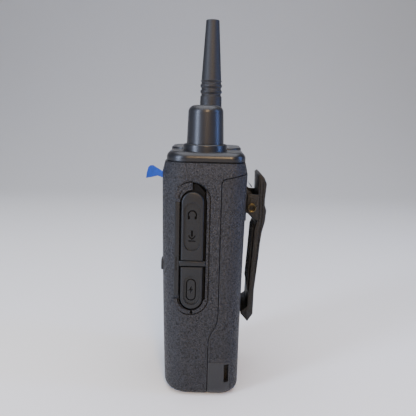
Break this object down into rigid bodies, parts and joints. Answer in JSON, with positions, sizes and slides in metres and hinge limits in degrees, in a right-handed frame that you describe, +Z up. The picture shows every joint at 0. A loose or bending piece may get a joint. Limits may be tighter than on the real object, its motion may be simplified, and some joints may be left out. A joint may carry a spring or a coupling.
{
  "type": "portable two-way radio",
  "caption": "Handheld two-way radio with screw-in antenna, volume knob, push-to-talk side, flapped accessory sockets, tilt-off battery and sprung belt clip.",
  "frame": {"origin": "centre of the body's flat bottom face", "axes": "+Z up along the body, front faces -Y, accessory sockets on the +X side"},
  "size_m": [0.0567, 0.0579, 0.1813],
  "materials": {
    "housing_grain": "spark-eroded matte black polycarbonate",
    "deck_satin": "smooth satin black plastic",
    "cover_rubber": "smooth dark-grey silicone rubber",
    "antenna_rubber": "fine matte black rubber",
    "knob_satin": "smooth satin black soft-touch plastic",
    "clip_plastic": "matte black glass-filled nylon",
    "latch_smooth": "smooth black plastic",
    "button_rubber": "matte black rubber",
    "lens_glass": "hard-coated dark window",
    "film_clear": "thin clear protective film",
    "film_blue": "saturated blue film",
    "lcd_dark": "dark display module",
    "board_green": "green solder mask",
    "cast_alloy": "die-cast alloy, bead-blasted",
    "steel": "plain steel",
    "brass": "turned brass",
    "gold_contact": "gold-plated contact",
    "nickel": "nickel-plated shell",
    "connector_black": "black connector moulding",
    "light_pipe": "clear acrylic",
    "cell_wrap": "foil pouch",
    "mesh_black": "black acoustic mesh"
  },
  "bodies": {
    "radio": {"front_housing": "housing_grain", "chassis": "cast_alloy", "top_deck": "deck_satin", "deck_gasket": "button_rubber", "status_light_pipe": "light_pipe", "volume_encoder": "connector_black", "antenna_socket": "brass", "display_lens": "lens_glass", "display_film": "film_clear", "film_pull_tab": "film_blue", "lcd_module": "lcd_dark", "keypad_membrane": "button_rubber", "speaker_mesh": "mesh_black", "speaker": "connector_black", "microphone": "nickel", "side_key_membrane": "button_rubber", "cover_anchor": "cover_rubber", "headset_jack": "connector_black", "microphone_jack": "connector_black", "usb_c_socket": "nickel", "jack_board": "board_green", "main_board": "board_green", "shield_can": "nickel", "housing_screws": "steel", "battery_contacts": "gold_contact"},
    "volume_control": {"volume_knob": "knob_satin", "knob_insert": "brass", "encoder_shaft": "steel"},
    "antenna_lift": {"antenna_stud": "brass"},
    "antenna": {"antenna_whip": "antenna_rubber", "antenna_element": "steel"},
    "menu_key_1": {"menu_key_1": "button_rubber"},
    "menu_key_2": {"menu_key_2": "button_rubber"},
    "menu_key_3": {"menu_key_3": "button_rubber"},
    "menu_key_4": {"menu_key_4": "button_rubber"},
    "talk_button": {"talk_button": "button_rubber"},
    "side_key_upper": {"side_key_upper": "button_rubber"},
    "side_key_lower": {"side_key_lower": "button_rubber"},
    "headset_flap": {"headset_flap": "cover_rubber"},
    "usb_flap": {"usb_flap": "cover_rubber"},
    "battery": {"battery_shell": "housing_grain", "battery_lid": "housing_grain", "battery_terminals": "gold_contact", "battery_cells": "cell_wrap", "charging_contacts": "gold_contact", "latch_side_plates": "latch_smooth", "latch_pin": "steel", "latch_springs": "steel", "clip_bracket": "latch_smooth", "clip_pin": "brass", "clip_spring": "steel"},
    "battery_latch": {"battery_latch": "clip_plastic"},
    "belt_clip": {"clip_arm": "clip_plastic"}
  },
  "joints": [
    {"name": "volume_turn", "type": "hinge", "parent": "radio", "child": "volume_control", "pos_m": [0.014, -0.0002, 0.13], "axis": [0, 0, -1], "range_deg": [0, 270]},
    {"name": "antenna_rise", "type": "slide", "parent": "radio", "child": "antenna_lift", "axis": [0, 0, 1], "range_m": [0, 0.00353]},
    {"name": "antenna_unscrew", "type": "hinge", "parent": "antenna_lift", "child": "antenna", "pos_m": [-0.014, 0.0019, 0.125], "axis": [0, 0, 1], "range_deg": [-1, 1801]},
    {"name": "menu_key_1_press", "type": "slide", "parent": "radio", "child": "menu_key_1", "axis": [0, 1, 0], "range_m": [0, 0.0008], "stiffness_N_per_m": 1500, "springref_m": -0.0002},
    {"name": "menu_key_2_press", "type": "slide", "parent": "radio", "child": "menu_key_2", "axis": [0, 1, 0], "range_m": [0, 0.0008], "stiffness_N_per_m": 1500, "springref_m": -0.0002},
    {"name": "menu_key_3_press", "type": "slide", "parent": "radio", "child": "menu_key_3", "axis": [0, 1, 0], "range_m": [0, 0.0008], "stiffness_N_per_m": 1500, "springref_m": -0.0002},
    {"name": "menu_key_4_press", "type": "slide", "parent": "radio", "child": "menu_key_4", "axis": [0, 1, 0], "range_m": [0, 0.0008], "stiffness_N_per_m": 1500, "springref_m": -0.0002},
    {"name": "talk_press", "type": "slide", "parent": "radio", "child": "talk_button", "axis": [1, 0, 0], "range_m": [0, 0.0012], "stiffness_N_per_m": 2000, "springref_m": -0.0003},
    {"name": "side_key_upper_press", "type": "slide", "parent": "radio", "child": "side_key_upper", "axis": [1, 0, 0], "range_m": [0, 0.0008], "stiffness_N_per_m": 1500, "springref_m": -0.0002},
    {"name": "side_key_lower_press", "type": "slide", "parent": "radio", "child": "side_key_lower", "axis": [1, 0, 0], "range_m": [0, 0.0008], "stiffness_N_per_m": 1500, "springref_m": -0.0002},
    {"name": "headset_flap_hinge", "type": "hinge", "parent": "radio", "child": "headset_flap", "pos_m": [0.0279, -0.0047, 0.06805], "axis": [0, 1, 0], "range_deg": [0, 90]},
    {"name": "usb_flap_hinge", "type": "hinge", "parent": "radio", "child": "usb_flap", "pos_m": [0.0279, -0.0047, 0.06515], "axis": [0, -1, 0], "range_deg": [0, 90]},
    {"name": "battery_tilt", "type": "hinge", "parent": "radio", "child": "battery", "pos_m": [0, 0.0197, 0.10696], "axis": [1, 0, 0], "range_deg": [0, 20]},
    {"name": "latch_pull", "type": "hinge", "parent": "battery", "child": "battery_latch", "pos_m": [0, 0.0125, 0.0148], "axis": [1, 0, 0], "range_deg": [0, 6], "stiffness_Nm_per_rad": 0.5, "springref_deg": -2.86},
    {"name": "clip_open", "type": "hinge", "parent": "battery", "child": "belt_clip", "pos_m": [0, 0.023, 0.0908], "axis": [1, 0, 0], "range_deg": [0, 6], "stiffness_Nm_per_rad": 2, "springref_deg": -5.73}
  ],
  "couplings": [
    {"joint": "antenna_unscrew", "follows": "antenna_rise", "rad_per_m": 8904.7}
  ]
}
